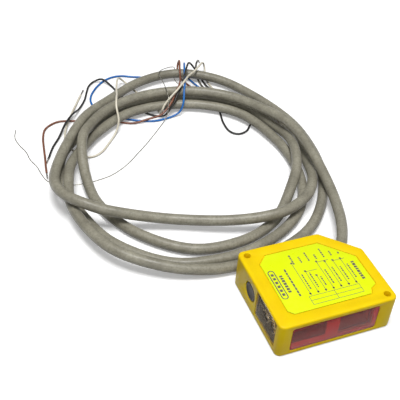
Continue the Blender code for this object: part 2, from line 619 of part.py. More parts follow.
DRAIN_ROUTE = [
    (47.3, 135.5, 4.8), (45.3, 142, 3.6), (41, 147.5, 1.4), (36, 156.5, 0.4),
    (29.4, 164.9, 0.3), (22.4, 172.9, 0.3), (15.7, 181, 0.3), (10.3, 188.5, 0.3),
    (5.8, 196.5, 0.3), (3.3, 204, 0.4), (3.6, 210.3, 2), (4.6, 210.8, 6.5),
    (1, 208.9, 8.8), (-4.5, 207.6, 8.9), (-8.2, 205, 8.9), (-9.6, 200.5, 9.2),
    (-10.7, 191.7, 11), (-13, 179, 14.5), (-13.6, 171.5, 12.4), (-14.8, 167.6, 9),
    (-15.4, 165.8, 6), (-16.8, 164, 3.2), (-19.3, 162, 0.9), (-25.8, 155.1, 0.3),
    (-32.5, 148, 0.3), (-38.7, 141.7, 0.3), (-44.8, 136, 0.3), (-50.5, 130.6, 0.3),
    (-57.2, 125.5, 0.3), (-66, 121, 0.3), (-77.5, 119, 0.3), (-88, 119.5, 0.3),
    (-96, 122.5, 0.3), (-100.5, 127.5, 0.3), (-102.2, 134.5, 0.3), (-103.2, 141.5, 0.3),
    (-105.4, 148.5, 0.3), (-106.3, 156.5, 0.3), (-108.8, 164.5, 0.3), (-109.8, 172, 0.3),
    (-107.9, 179.5, 0.3),
]


def make_cords(shade):
    cord("cable_jacket", CABLE_ROUTE, CABLE_DIAMETER, 84, shade["jacket"], 3)
    cord("wire_brown", BROWN_ROUTE, WIRE_DIAMETER, 58, shade["brown"])
    cord("wire_blue", BLUE_ROUTE, WIRE_DIAMETER, 60, shade["blue"])
    cord("wire_white", WHITE_ROUTE, WIRE_DIAMETER, 72, shade["white"])
    cord("wire_black", BLACK_ROUTE, WIRE_DIAMETER, 72, shade["dark"])
    cord("wire_grey", GREY_ROUTE, WIRE_DIAMETER, 24, shade["grey"])
    cord("wire_drain", DRAIN_ROUTE, DRAIN_DIAMETER, 64, shade["tinned"])


def main():
    clear_scene()
    shade = make_materials()
    make_housing(shade)
    make_windows(shade)
    make_masks(shade)
    make_optics(shade)
    make_electronics(shade)
    make_button(shade)
    make_cable_entry(shade)
    make_cords(shade)


main()
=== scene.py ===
"""Rectangular photoelectric sensor with an attached five-wire cable.

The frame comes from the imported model. Lengths on the sensor are given in
millimetres and scaled by MM; the camera, the lights and the floor are in metres.
"""

import math
import random

import bmesh
import bpy
from mathutils import Matrix, Vector


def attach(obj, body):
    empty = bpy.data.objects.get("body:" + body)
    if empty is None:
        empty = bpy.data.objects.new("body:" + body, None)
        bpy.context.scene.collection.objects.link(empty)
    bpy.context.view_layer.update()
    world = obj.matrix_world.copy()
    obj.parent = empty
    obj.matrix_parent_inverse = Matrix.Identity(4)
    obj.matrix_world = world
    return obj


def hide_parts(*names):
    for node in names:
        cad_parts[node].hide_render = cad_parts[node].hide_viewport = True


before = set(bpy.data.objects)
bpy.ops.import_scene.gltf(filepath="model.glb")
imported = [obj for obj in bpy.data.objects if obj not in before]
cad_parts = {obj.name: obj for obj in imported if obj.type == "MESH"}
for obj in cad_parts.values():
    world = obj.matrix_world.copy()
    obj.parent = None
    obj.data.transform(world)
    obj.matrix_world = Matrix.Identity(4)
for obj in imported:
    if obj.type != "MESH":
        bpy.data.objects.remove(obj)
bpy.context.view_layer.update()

MM = 0.001
BODY = "sensor_body"
BUTTON = "button_body"
scene = bpy.context.scene


# ---------------------------------------------------------------- camera

camera_data = bpy.data.cameras.new("camera")
camera = bpy.data.objects.new("camera", camera_data)
scene.collection.objects.link(camera)
aim = Vector((-0.0286, 0.0762, 0.010))
distance = 0.412
azimuth = math.radians(23.6)
elevation = math.radians(41.1)
roll = math.radians(4.1)
spot = Matrix.Translation(aim + distance * Vector((
    -math.sin(azimuth) * math.cos(elevation),
    -math.cos(azimuth) * math.cos(elevation),
    math.sin(elevation))))
swing = Matrix.Rotation(-azimuth, 4, "Z")
tilt = Matrix.Rotation(math.pi / 2 - elevation, 4, "X")
camera.matrix_world = spot @ swing @ tilt @ Matrix.Rotation(roll, 4, "Z")
camera_data.sensor_width = 36.0
camera_data.lens = 69.4
camera_data.clip_start = 0.01
camera_data.clip_end = 20.0
scene.camera = camera
scene.view_settings.view_transform = "Standard"


# ------------------------------------------------------------- mesh tools

def link(name, mesh, material, body=BODY, location=(0, 0, 0),
         rotation=(0, 0, 0)):
    """Add a piece at its place and turn, riding a body unless that is None."""
    obj = bpy.data.objects.new(name, mesh)
    scene.collection.objects.link(obj)
    obj.location = location
    obj.rotation_euler = rotation
    mesh.materials.append(material)
    if body is not None:
        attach(obj, body)
    return obj


def as_mesh(name, data, sharp=32):
    """Finish a bmesh as a smooth mesh whose sharper edges stay hard."""
    bmesh.ops.recalc_face_normals(data, faces=data.faces)
    mesh = bpy.data.meshes.new(name)
    data.to_mesh(mesh)
    data.free()
    mesh.shade_smooth()
    mesh.set_sharp_from_angle(angle=math.radians(sharp))
    return mesh


def prism_data(outline, low, high):
    """A flat outline raised from one height to another."""
    data = bmesh.new()
    face = data.faces.new([data.verts.new((x, y, low)) for x, y in outline])
    grown = bmesh.ops.extrude_face_region(data, geom=[face])
    raised = [v for v in grown["geom"] if isinstance(v, bmesh.types.BMVert)]
    bmesh.ops.translate(data, verts=raised, vec=(0, 0, high - low))
    bmesh.ops.recalc_face_normals(data, faces=data.faces)
    return data


def box_outline(x0, x1, y0, y1):
    return [(x0, y0), (x1, y0), (x1, y1), (x0, y1)]


def turned_data(profile, sides):
    """Rings about local Z from (radius, height) pairs."""
    data = bmesh.new()
    rings = []
    for radius, height in profile:
        if radius == 0:
            rings.append([data.verts.new((0, 0, height))])
            continue
        rings.append([
            data.verts.new((radius * math.cos(2 * math.pi * i / sides),
                            radius * math.sin(2 * math.pi * i / sides), height))
            for i in range(sides)
        ])
    pairs = list(zip(rings, rings[1:]))
    if profile[0][0] != 0 and profile[-1][0] != 0:
        pairs.append((rings[-1], rings[0]))
    for lower, upper in pairs:
        for i in range(sides):
            j = (i + 1) % sides
            if len(lower) == 1:
                data.faces.new((lower[0], upper[j], upper[i]))
            elif len(upper) == 1:
                data.faces.new((lower[i], lower[j], upper[0]))
            else:
                data.faces.new((lower[i], lower[j], upper[j], upper[i]))
    return data


def rounded(corners, radius, steps):
    """Outline with each corner replaced by a short arc."""
    outline = []
    count = len(corners)
    for i in range(count):
        here = Vector(corners[i])
        before = (Vector(corners[i - 1]) - here).normalized()
        ahead = (Vector(corners[(i + 1) % count]) - here).normalized()
        half = math.acos(max(-1, min(1, before.dot(ahead)))) / 2
        centre = here + (before + ahead).normalized() * radius / math.sin(half)
        start = here + before * radius / math.tan(half) - centre
        end = here + ahead * radius / math.tan(half) - centre
        sweep = math.atan2(start.x * end.y - start.y * end.x, start.dot(end))
        for k in range(steps + 1):
            angle = sweep * k / steps
            x = start.x * math.cos(angle) - start.y * math.sin(angle)
            y = start.x * math.sin(angle) + start.y * math.cos(angle)
            outline.append((centre.x + x, centre.y + y))
    return outline


def add_part(data, part):
    """Move one bmesh's faces into another."""
    spare = bpy.data.meshes.new("spare")
    part.to_mesh(spare)
    part.free()
    data.from_mesh(spare)
    bpy.data.meshes.remove(spare)


def bake(obj, sharp):
    """Turn an object's modifiers into plain mesh."""
    graph = bpy.context.evaluated_depsgraph_get()
    mesh = bpy.data.meshes.new_from_object(obj.evaluated_get(graph))
    obj.modifiers.clear()
    old = obj.data
    obj.data = mesh
    bpy.data.meshes.remove(old)
    mesh.shade_smooth()
    mesh.set_sharp_from_angle(angle=math.radians(sharp))


def bevel(obj, width, segments, angle):
    """Round the edges that turn by more than an angle in degrees."""
    step = obj.modifiers.new("round", "BEVEL")
    step.width = width
    step.segments = segments
    step.limit_method = "ANGLE"
    step.angle_limit = math.radians(angle)
    step.harden_normals = False


def subtract(obj, cutters):
    """Cut bmesh solids out of an object, and return helpers to drop once baked."""
    helpers = []
    for number, (data, location, rotation) in enumerate(cutters):
        mesh = bpy.data.meshes.new("cutter")
        bmesh.ops.recalc_face_normals(data, faces=data.faces)
        data.to_mesh(mesh)
        data.free()
        helper = bpy.data.objects.new(f"cutter_{number}", mesh)
        scene.collection.objects.link(helper)
        helper.location = location
        helper.rotation_euler = rotation
        step = obj.modifiers.new("cut", "BOOLEAN")
        step.operation = "DIFFERENCE"
        step.solver = "EXACT"
        step.object = helper
        helpers.append(helper)
    bpy.context.view_layer.update()
    return helpers


def drop(helpers):
    for helper in helpers:
        mesh = helper.data
        bpy.data.objects.remove(helper)
        bpy.data.meshes.remove(mesh)


# -------------------------------------------------------------- materials

class Shade:
    """A Principled material being put together from texture nodes."""

    def __init__(self, name, roughness=0.5, metallic=0.0, **inputs):
        self.material = bpy.data.materials.new(name)
        self.material.use_nodes = True
        self.nodes = self.material.node_tree.nodes
        self.links = self.material.node_tree.links
        self.shader = self.nodes["Principled BSDF"]
        self.shader.inputs["Roughness"].default_value = roughness
        self.shader.inputs["Metallic"].default_value = metallic
        for key, value in inputs.items():
            self.shader.inputs[key.replace("_", " ")].default_value = value
        self.place = self.nodes.new("ShaderNodeTexCoord").outputs["Object"]
        self.height = None

    def stretch(self, factors):
        node = self.nodes.new("ShaderNodeMapping")
        node.inputs["Scale"].default_value = factors
        self.links.new(self.place, node.inputs["Vector"])
        return node.outputs["Vector"]

    def noise(self, scale, detail=3.0, rough=0.55, vector=None):
        node = self.nodes.new("ShaderNodeTexNoise")
        node.inputs["Scale"].default_value = scale
        node.inputs["Detail"].default_value = detail
        node.inputs["Roughness"].default_value = rough
        self.links.new(vector or self.place, node.inputs["Vector"])
        return node.outputs["Fac"]

    def cells(self, scale, feature):
        node = self.nodes.new("ShaderNodeTexVoronoi")
        node.feature = feature
        node.inputs["Scale"].default_value = scale
        self.links.new(self.place, node.inputs["Vector"])
        return node.outputs["Distance"]

    def ramp(self, value, low, high, start=0.0, end=1.0):
        node = self.nodes.new("ShaderNodeMapRange")
        node.inputs["From Min"].default_value = low
        node.inputs["From Max"].default_value = high
        node.inputs["To Min"].default_value = start
        node.inputs["To Max"].default_value = end
        self.links.new(value, node.inputs["Value"])
        return node.outputs["Result"]

    def mix(self, factor, first, second):
        node = self.nodes.new("ShaderNodeMix")
        node.data_type = "RGBA"
        self.links.new(factor, node.inputs["Factor"])
        for socket, value in ((node.inputs[6], first), (node.inputs[7], second)):
            if isinstance(value, bpy.types.NodeSocket):
                self.links.new(value, socket)
            else:
                socket.default_value = (*value, 1.0)
        return node.outputs[2]

    def colour(self, socket):
        self.links.new(socket, self.shader.inputs["Base Color"])

    def roughness(self, socket):
        self.links.new(socket, self.shader.inputs["Roughness"])

    def bump(self, value, distance, strength=1.0):
        node = self.nodes.new("ShaderNodeBump")
        node.inputs["Strength"].default_value = strength
        node.inputs["Distance"].default_value = distance
        self.links.new(value, node.inputs["Height"])
        if self.height is not None:
            self.links.new(self.height, node.inputs["Normal"])
        self.height = node.outputs["Normal"]
        self.links.new(self.height, self.shader.inputs["Normal"])


def moulded(name, colour, shadow, roughness, grain=0.02, size=2600, **inputs):
    """Moulded plastic: fine spark-eroded grain, faint clouding, dull scuffs."""
    shade = Shade(name, roughness, **inputs)
    cloud = shade.ramp(shade.noise(90, 4), 0.3, 0.7)
    speck = shade.ramp(shade.noise(700, 2), 0.35, 0.7)
    tone = shade.mix(cloud, shadow, colour)
    shade.colour(shade.mix(shade.ramp(speck, 0, 1, 0.0, 0.25), tone, shadow))
    scuff = shade.ramp(shade.noise(260, 5, 0.7), 0.35, 0.75, roughness - 0.06,
                       roughness + 0.1)
    shade.roughness(scuff)
    shade.bump(shade.noise(size, 2), grain * MM)
    return shade.material


def painted_label():
    """Printed yellow film: faint clouding, an uneven gloss and a slight ripple."""
    shade = Shade("label_film", 0.34, Specular_IOR_Level=0.3)
    tone = shade.ramp(shade.noise(55, 3), 0.3, 0.7)
    shade.colour(shade.mix(tone, (0.80, 0.93, 0.002), (0.83, 0.96, 0.012)))
    shade.roughness(shade.ramp(shade.noise(420, 4), 0.3, 0.7, 0.26, 0.4))
    shade.bump(shade.noise(160, 3), 0.02 * MM)
    return shade.material


def print_ink():
    """Dark ink that covers the film a little unevenly."""
    shade = Shade("label_print", 0.5)
    tone = shade.ramp(shade.noise(1500, 3), 0.35, 0.65)
    shade.colour(shade.mix(tone, (0.11, 0.10, 0.09), (0.20, 0.185, 0.13)))
    shade.bump(shade.noise(3000, 2), 0.004 * MM)
    return shade.material


def acrylic(name, colour, roughness, density, clear=1.0, glare=0.5,
            index=1.49):
    """Clear tinted acrylic with moulding ripples and a few fine scratches."""
    shade = Shade(name, roughness, Transmission_Weight=clear, IOR=index,
                  Specular_IOR_Level=glare)
    tone = shade.ramp(shade.noise(60, 3), 0.3, 0.7)
    shade.colour(shade.mix(tone, tuple(c * density for c in colour), colour))
    scratch = shade.noise(900, 2, vector=shade.stretch((0.05, 1.0, 3.0)))
    shade.roughness(shade.ramp(scratch, 0.62, 0.75, roughness, roughness + 0.12))
    shade.bump(shade.noise(120, 2), 0.012 * MM)
    return shade.material


def jacket_pvc(name, light, dark, roughness=0.42):
    """Extruded PVC: mottled haze, fine dark flecks and small scuffs."""
    shade = Shade(name, roughness, Coat_Weight=0.1, Coat_Roughness=0.35)
    haze = shade.ramp(shade.noise(70, 5, 0.65), 0.32, 0.68)
    fleck = shade.ramp(shade.noise(850, 3, 0.7), 0.42, 0.7, 0.0, 0.55)
    tone = shade.mix(haze, dark, light)
    shade.colour(shade.mix(fleck, tone, tuple(c * 0.55 for c in dark)))
    shade.roughness(shade.ramp(shade.noise(240, 4), 0.3, 0.7, roughness - 0.07,
                               roughness + 0.12))
    shade.bump(shade.noise(330, 4), 0.1 * MM)
    shade.bump(shade.noise(1500, 3), 0.03 * MM)
    return shade.material


def insulation(name, light, dark, roughness=0.36):
    """Coloured wire insulation: faint clouding and a fine dull grain."""
    shade = Shade(name, roughness, Coat_Weight=0.1, Coat_Roughness=0.3)
    tone = shade.ramp(shade.noise(210, 4), 0.3, 0.7)
    shade.colour(shade.mix(tone, dark, light))
    shade.roughness(shade.ramp(shade.noise(600, 3), 0.3, 0.7, roughness - 0.06,
                               roughness + 0.08))
    shade.bump(shade.noise(900, 3), 0.02 * MM)
    return shade.material


def tinned(name, light=(0.72, 0.70, 0.66), dark=(0.38, 0.36, 0.33)):
    """Tinned copper strands: bright metal with dull grey patches."""
    shade = Shade(name, 0.32, 1.0)
    patch = shade.ramp(shade.noise(800, 4), 0.35, 0.7)
    shade.colour(shade.mix(patch, light, dark))
    shade.roughness(shade.ramp(shade.noise(1300, 3), 0.3, 0.7, 0.24, 0.5))
    shade.bump(shade.noise(4200, 2), 0.01 * MM)
    return shade.material


def board_material():
    """Solder mask with copper tracks showing through as lighter lines."""
    shade = Shade("circuit_board", 0.4, Coat_Weight=0.3, Coat_Roughness=0.2)
    track = shade.ramp(shade.cells(420, "DISTANCE_TO_EDGE"), 0.03, 0.06)
    shade.colour(shade.mix(track, (0.03, 0.24, 0.09), (0.008, 0.09, 0.035)))
    shade.bump(track, 0.02 * MM, 0.4)
    return shade.material


MAT = {
    "housing": moulded("housing_yellow", (0.93, 0.69, 0.001), (0.88, 0.60, 0.001),
                       0.42, Specular_IOR_Level=0.2),
    "cover": moulded("cover_yellow", (0.88, 0.58, 0.004), (0.80, 0.50, 0.003),
                     0.46),
    "label": painted_label(),
    "ink": print_ink(),
    "red": acrylic("window_red", (0.80, 0.07, 0.045), 0.05, 0.86, clear=0.9,
                   glare=0.15, index=1.3),
    "smoke": acrylic("window_smoke", (0.78, 0.68, 0.54), 0.05, 0.85, clear=0.97,
                     glare=0.0, index=1.06),
    "mask": moulded("mask_red", (0.78, 0.10, 0.04), (0.66, 0.07, 0.03), 0.5),
    "black": moulded("moulded_black", (0.030, 0.029, 0.028),
                     (0.014, 0.014, 0.013), 0.55),
    "button": moulded("button_grey", (0.050, 0.042, 0.034), (0.026, 0.022, 0.018),
                      0.5, grain=0.04, size=1800, Specular_IOR_Level=0.25),
    "rubber": moulded("seal_rubber", (0.04, 0.04, 0.038), (0.02, 0.02, 0.019),
                      0.75),
    "lens": acrylic("lens_clear", (0.95, 0.95, 0.93), 0.03, 0.97),
    "chip": moulded("chip_black", (0.035, 0.035, 0.036), (0.015, 0.015, 0.016),
                    0.4),
    "led": moulded("led_white", (0.80, 0.78, 0.62), (0.66, 0.62, 0.42), 0.35),
    "jacket": jacket_pvc("jacket_grey", (0.38, 0.36, 0.28), (0.23, 0.215, 0.165)),
    "brown_wire": insulation("wire_brown", (0.30, 0.11, 0.06), (0.17, 0.06, 0.03)),
    "blue_wire": insulation("wire_blue", (0.015, 0.20, 0.62), (0.01, 0.13, 0.46)),
    "white_wire": insulation("wire_white", (0.84, 0.79, 0.66), (0.72, 0.66, 0.52)),
    "black_wire": insulation("wire_black", (0.032, 0.031, 0.028),
                             (0.012, 0.012, 0.011)),
    "grey_wire": insulation("wire_grey", (0.20, 0.185, 0.15), (0.12, 0.11, 0.09)),
    "tinned": tinned("wire_tinned"),
    "drain": tinned("wire_drain", (0.52, 0.50, 0.44), (0.26, 0.25, 0.21)),
    "board": board_material(),
}


# ------------------------------------------------------------------ cords

CABLE_DIAMETER = 5.8 * MM
WIRE_DIAMETER = 1.3 * MM
DRAIN_DIAMETER = 0.5 * MM
HIDDEN_START = 2.5 * MM      # how far a wire runs back from its route's start
FLOOR_CLEARANCE = 0.02 * MM
SPAN_STEPS = 8
STRAND_SIDES = 8
STRAND_RADIUS = 0.14 * MM
STRAND_LOWEST = 0.16 * MM
OUTER_STRANDS = 6
TIP_SPREAD = 0.30 * MM
TIP_ROOT = 0.6 * MM          # length of a strand inside the insulation
TIP_TURNS = 0.8
TIP_STEPS = 12


def smooth_curve(route, steps, lowest):
    """The Catmull-Rom curve through a route, kept at or above a lowest height."""
    points = [Vector(p) * MM for p in route]
    points.insert(0, points[0] * 2 - points[1])
    points.append(points[-1] * 2 - points[-2])
    spans = len(route) - 1
    result = []
    for k in range(spans * steps + 1):
        i = min(k // steps, spans - 1)
        t = k / steps - i
        a, b, c, d = points[i:i + 4]
        spot = (b * 2 + (c - a) * t + (a * 2 - b * 5 + c * 4 - d) * t * t
                + (b * 3 - a - c * 3 + d) * t * t * t) / 2
        spot.z = max(spot.z, lowest)
        result.append(spot)
    return result


def tube(name, points, diameter, material, resolution):
    """A round cord along points, riding the sensor's body."""
    data = bpy.data.curves.new(name, "CURVE")
    data.dimensions = "3D"
    data.bevel_depth = diameter / 2
    data.bevel_resolution = resolution
    data.use_fill_caps = True
    data.twist_mode = "MINIMUM"
    spline = data.splines.new("POLY")
    spline.points.add(len(points) - 1)
    for knot, spot in zip(spline.points, points):
        knot.co = (*spot, 1.0)
    spline.use_smooth = True
    data.materials.append(material)
    obj = bpy.data.objects.new(name, data)
    scene.collection.objects.link(obj)
    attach(obj, BODY)
    return obj


def strand_data(data, points, radius):
    """Add one thin closed tube to a bmesh."""
    rings = []
    side = Vector((0, 0, 1))
    for i, spot in enumerate(points):
        ahead = points[min(i + 1, len(points) - 1)] - points[max(i - 1, 0)]
        ahead.normalize()
        side = (side - ahead * side.dot(ahead)).normalized()
        other = ahead.cross(side)
        ring = []
        for k in range(STRAND_SIDES):
            turn = 2 * math.pi * k / STRAND_SIDES
            offset = (side * math.cos(turn) + other * math.sin(turn)) * radius
            ring.append(data.verts.new(spot + offset))
        rings.append(ring)
    for lower, upper in zip(rings, rings[1:]):
        for k in range(STRAND_SIDES):
            j = (k + 1) % STRAND_SIDES
            data.faces.new((lower[k], lower[j], upper[j], upper[k]))
    data.faces.new(list(reversed(rings[0])))
    data.faces.new(rings[-1])


def bare_tip(name, start, ahead, length, seed):
    """Tinned strands twisted lightly round a core, at a wire's stripped end."""
    pick = random.Random(seed)
    ahead = ahead.normalized()
    side = ahead.cross(Vector((0, 0, 1))).normalized()
    lift = side.cross(ahead)
    data = bmesh.new()
    for strand in range(OUTER_STRANDS + 1):
        reach = length * (1 - 0.12 * pick.random())
        radius = 0.0 if strand == OUTER_STRANDS else TIP_SPREAD
        points = []
        for k in range(TIP_STEPS + 1):
            t = k / TIP_STEPS
            turn = 2 * math.pi * (strand / OUTER_STRANDS + TIP_TURNS * t)
            wide = radius * (1 + 0.35 * t * pick.random())
            spot = start + ahead * (reach * t - TIP_ROOT * (1 - t))
            spot += side * wide * math.cos(turn) + lift * wide * math.sin(turn)
            spot.z = max(spot.z, STRAND_LOWEST)
            points.append(spot)
        strand_data(data, points, STRAND_RADIUS)
    return link(name, as_mesh(name, data, 60), MAT["tinned"])


# Routes in millimetres: the cable's from the gland to the jacket's far end, and
# each wire's from there to its tip. Heights follow what a stretch lies on.
CABLE_ROUTE = [
    (22.5, 17.5, 10), (30.5, 26.5, 10), (38.5, 43, 9.2), (44.5, 66, 9.6),
    (46.5, 92, 13.2), (46, 118, 14.7), (38.5, 143, 11.8), (23, 164, 11),
    (0, 176.5, 10.8), (-26, 179, 10.8), (-50, 172, 10.8), (-67, 158, 11),
    (-76.3, 141.2, 12.5), (-80, 119, 5.2), (-78.5, 95, 3), (-66, 69, 3),
    (-43, 49.3, 3), (-16, 46.8, 3), (7, 56, 3), (24, 73, 7),
    (36, 90, 9.8), (43.5, 112, 8.5), (43, 131, 5), (34, 155.5, 4.6),
    (12, 174.5, 4.6), (-16, 181.5, 4.6), (-44, 178, 4.6), (-68, 163, 4.6),
    (-87.8, 142.2, 4.6), (-94, 117.5, 4), (-90, 93, 3), (-80, 66, 3),
    (-57.5, 44, 3), (-31, 38, 3), (-6, 41.5, 3), (17, 53.5, 3),
    (32, 72, 3), (39, 97, 3), (38, 122, 3.8), (28.8, 149, 4.6),
    (10, 166, 4.6), (-15, 173.4, 4.6), (-41, 171, 4.6), (-64, 156.5, 4.6),
    (-81, 138.2, 4.8), (-90, 117, 10), (-94, 91, 9.2), (-85, 59, 9.4),
    (-64, 40, 7.4), (-37, 31.6, 4), (-8, 33, 3), (19, 42.5, 3),
    (38, 61, 3), (51, 86, 3), (56, 113, 3), (55, 138, 3),
    (45.5, 167, 3.2), (29, 192, 4.6), (5, 206, 5), (-22, 203, 5),
    (-46.5, 188, 5.6), (-68, 167, 10.6), (-84.5, 143.5, 11), (-95, 124, 11.4),
    (-99.3, 109, 13.4), (-97, 96, 15.4), (-89, 86.2, 15.2), (-75.5, 79, 12),
    (-47, 70.5, 6.4), (-17, 58.5, 7.7), (8, 53.5, 10.5), (28, 62.5, 9),
    (40, 77, 7), (45, 91, 5), (48.4, 108, 3.2), (49.6, 124, 3),
    (48.6, 135, 3),
]
BROWN_ROUTE = [
    (47.2, 135.5, 3.4), (46, 142, 2.8), (42.4, 148.4, 1.2), (37.4, 157.4, 0.7),
    (30.9, 165.9, 0.7), (23.9, 173.9, 0.7), (17.4, 181.9, 0.7), (12.5, 189, 0.7),
    (9.5, 197, 0.7), (7.5, 205, 0.8), (7.2, 211, 2), (8.4, 215, 5.2),
    (9, 214.6, 9), (7.6, 209.5, 11.2), (5.4, 203, 10.6), (1.2, 190, 10.5),
    (-1.5, 184, 13), (-4.3, 177.4, 15), (-8.4, 173.2, 12.9), (-12.3, 169.3, 8.5),
    (-20, 165.5, 3.8), (-29.5, 165.2, 2.2), (-38, 165.5, 0.9), (-46, 169.2, 0.7),
    (-53, 173.5, 0.7), (-62, 176.3, 0.7), (-71, 178, 0.7), (-80.5, 180.3, 0.7),
    (-87, 178.3, 0.7), (-91.5, 174, 0.7), (-94, 167, 0.7), (-95.4, 159, 0.7),
    (-97, 148, 0.7), (-98.3, 140, 0.7), (-99.2, 133.5, 0.7),
]
BLUE_ROUTE = [
    (48.5, 135.5, 4.35), (47.6, 142.5, 3.3), (43.8, 149.5, 1), (38.8, 158.5, 0.7),
    (32.3, 167, 0.7), (25.3, 175, 0.7), (18.8, 183, 0.7), (15.6, 192, 0.7),
    (13, 201.5, 0.7), (12, 208, 1.1), (12.2, 211.8, 3.8), (11.8, 211.6, 7.6),
    (10.4, 208, 10.4), (8, 201, 10.2), (4.2, 190, 10.6), (1.9, 184, 12.6),
    (-0.4, 177.6, 15), (-2.4, 173.3, 13.5), (-4.6, 168, 8), (-7.3, 166.4, 3),
    (-12.5, 165.4, 1), (-18.5, 164.5, 0.7), (-25, 164.3, 0.7), (-31.5, 166.3, 0.7),
    (-38, 169.5, 0.7), (-43, 173, 0.7), (-50, 180, 0.7), (-55.5, 187, 0.7),
    (-57.2, 193, 0.7), (-56.3, 199.5, 0.7), (-53, 206, 0.7), (-48, 212.3, 0.7),
    (-42.1, 217.3, 0.7), (-36.1, 219.8, 0.7),
    (-30, 219.7, 0.7), (-24.6, 217.3, 0.7),
    (-18.5, 214.8, 0.7), (-15, 212.3, 0.7),
]
WHITE_ROUTE = [
    (49.8, 135.5, 3.4), (49.3, 143, 2.4), (46.6, 151.8, 0.8), (41.6, 160.6, 0.7),
    (35.1, 169.1, 0.7), (28.6, 177.5, 0.7), (24.3, 186, 0.7), (23.3, 194.5, 0.7),
    (24, 201, 0.8), (25.2, 206.5, 1.2), (26, 210, 4.2), (24.2, 209.2, 8.2),
    (19.4, 203.2, 10.2), (13, 196.8, 10.4), (6.6, 190, 12.3), (3.2, 184, 14.9),
    (-0.3, 178.5, 17), (-7.2, 172.6, 15.2), (-12, 171, 11.8), (-16.4, 169.4, 8),
    (-18.3, 168.6, 4.8), (-18.6, 170.6, 1.2), (-19.5, 176, 0.7), (-22, 185, 0.7),
    (-25, 195, 0.7), (-27.5, 203, 0.7), (-30, 209.8, 1.6), (-33.8, 210, 5.4),
    (-37.3, 203.3, 8.8), (-40.5, 194, 9.3), (-43.2, 184, 11), (-46, 174.8, 15.4),
    (-47.9, 168.4, 13), (-48.4, 162.2, 7.2), (-51, 158.8, 2), (-57, 151.5, 0.7),
    (-63.8, 143.8, 0.7), (-70.2, 140.6, 0.7), (-76, 142.5, 0.7), (-80.5, 151, 0.7),
    (-81.8, 162, 0.7), (-78.2, 172.8, 2), (-72.5, 183.5, 2.6), (-66.4, 196, 0.8),
    (-61.3, 205, 0.7),
]
BLACK_ROUTE = [
    (47.7, 135.5, 1.9), (46.3, 139.7, 0.9), (42, 143.3, 0.7), (36.8, 145.3, 0.7),
    (31.6, 143.5, 0.7), (26.5, 138, 0.7), (20.5, 136.5, 0.7), (16.2, 140.7, 0.7),
    (15.8, 150, 0.7), (18, 161.5, 0.7), (19, 170, 0.7), (19.8, 176, 2.2),
    (20.8, 185, 2.4), (20.7, 193, 0.8), (20.6, 199, 0.7), (20.2, 204.5, 2),
    (18.4, 207.2, 4.8), (16.2, 208.8, 8), (13.6, 207.6, 10.8), (10.4, 202.8, 11.4),
    (3.8, 190, 12.5), (0.6, 184, 14.1), (-2.3, 177.5, 14.9), (-6.2, 173.2, 12.6),
    (-10.5, 169.1, 8.2), (-13.5, 167.8, 4.8),
    (-17, 167.2, 1.6), (-21.5, 168.8, 0.7),
    (-26.5, 173, 0.7), (-31, 180, 0.7), (-34.8, 190, 0.7), (-37.6, 200, 0.7),
    (-39.6, 209.5, 0.8), (-43.9, 216.3, 2.6),
    (-49.3, 217.4, 1.1), (-53.8, 213.5, 0.7),
    (-56.7, 207.5, 0.7), (-60.6, 198.4, 0.7),
    (-66.5, 189, 1.4), (-72.8, 180.2, 4.4),
    (-79, 172.4, 4), (-85, 163.9, 1.2), (-90.5, 156, 0.7), (-95.3, 146.3, 0.7),
]
GREY_ROUTE = [
    (49.3, 135.5, 1.9), (48.2, 142, 0.9), (44.9, 150.4, 0.7), (40.1, 159.5, 0.7),
    (33.6, 168, 0.7), (26.8, 176.2, 0.7), (20.6, 184, 0.7), (18.2, 191.5, 0.7),
    (18, 198, 0.7), (18.6, 204.5, 0.7), (19.8, 210, 1.8), (21, 212.8, 5.4),
    (21.2, 211, 9.2), (20.3, 207, 11.2),
]
DRAIN_ROUTE = [
    (47.3, 135.5, 4.8), (45.3, 142, 3.6), (41, 147.5, 1.4), (36, 156.5, 0.4),
    (29.4, 164.9, 0.3), (22.4, 172.9, 0.3), (15.7, 181, 0.3), (10.3, 188.5, 0.3),
    (5.8, 196.5, 0.3), (3.3, 204, 0.4), (3.6, 210.3, 2), (4.6, 210.8, 6.5),
    (1, 208.9, 8.8), (-4.5, 207.6, 8.9), (-8.2, 205, 8.9), (-9.6, 200.5, 9.2),
    (-10.7, 191.7, 11), (-13, 179, 14.5), (-13.6, 171.5, 12.4), (-14.8, 167.6, 9),
    (-15.4, 165.8, 6), (-16.8, 164, 3.2), (-19.3, 162, 0.9), (-25.8, 155.1, 0.3),
    (-32.5, 148, 0.3), (-38.7, 141.7, 0.3), (-44.8, 136, 0.3), (-50.5, 130.6, 0.3),
    (-57.2, 125.5, 0.3), (-66, 121, 0.3), (-77.5, 119, 0.3), (-88, 119.5, 0.3),
    (-96, 122.5, 0.3), (-100.5, 127.5, 0.3),
    (-102.2, 134.5, 0.3), (-103.2, 141.5, 0.3),
    (-105.4, 148.5, 0.3), (-106.3, 156.5, 0.3),
    (-108.8, 164.5, 0.3), (-109.8, 172, 0.3),
    (-107.9, 179.5, 0.3),
]


def lay_cord(name, node, route, diameter, resolution, material,
             extra=0.0, tip=None):
    """A free cord in place of its CAD solid, with its stripped end if it has one."""
    points = smooth_curve(route, SPAN_STEPS, diameter / 2 + FLOOR_CLEARANCE)
    if extra:
        back_way = (points[0] - points[2]).normalized()
        points.insert(0, points[0] + back_way * extra)
    if tip:
        heading = points[-1] - points[-4]
        heading.z *= 0.4
        bare_tip(f"{name}_tip", points[-1], heading, tip * MM,
                             seed=len(name))
    piece = tube(name, points, diameter, material, resolution)
    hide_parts(node)


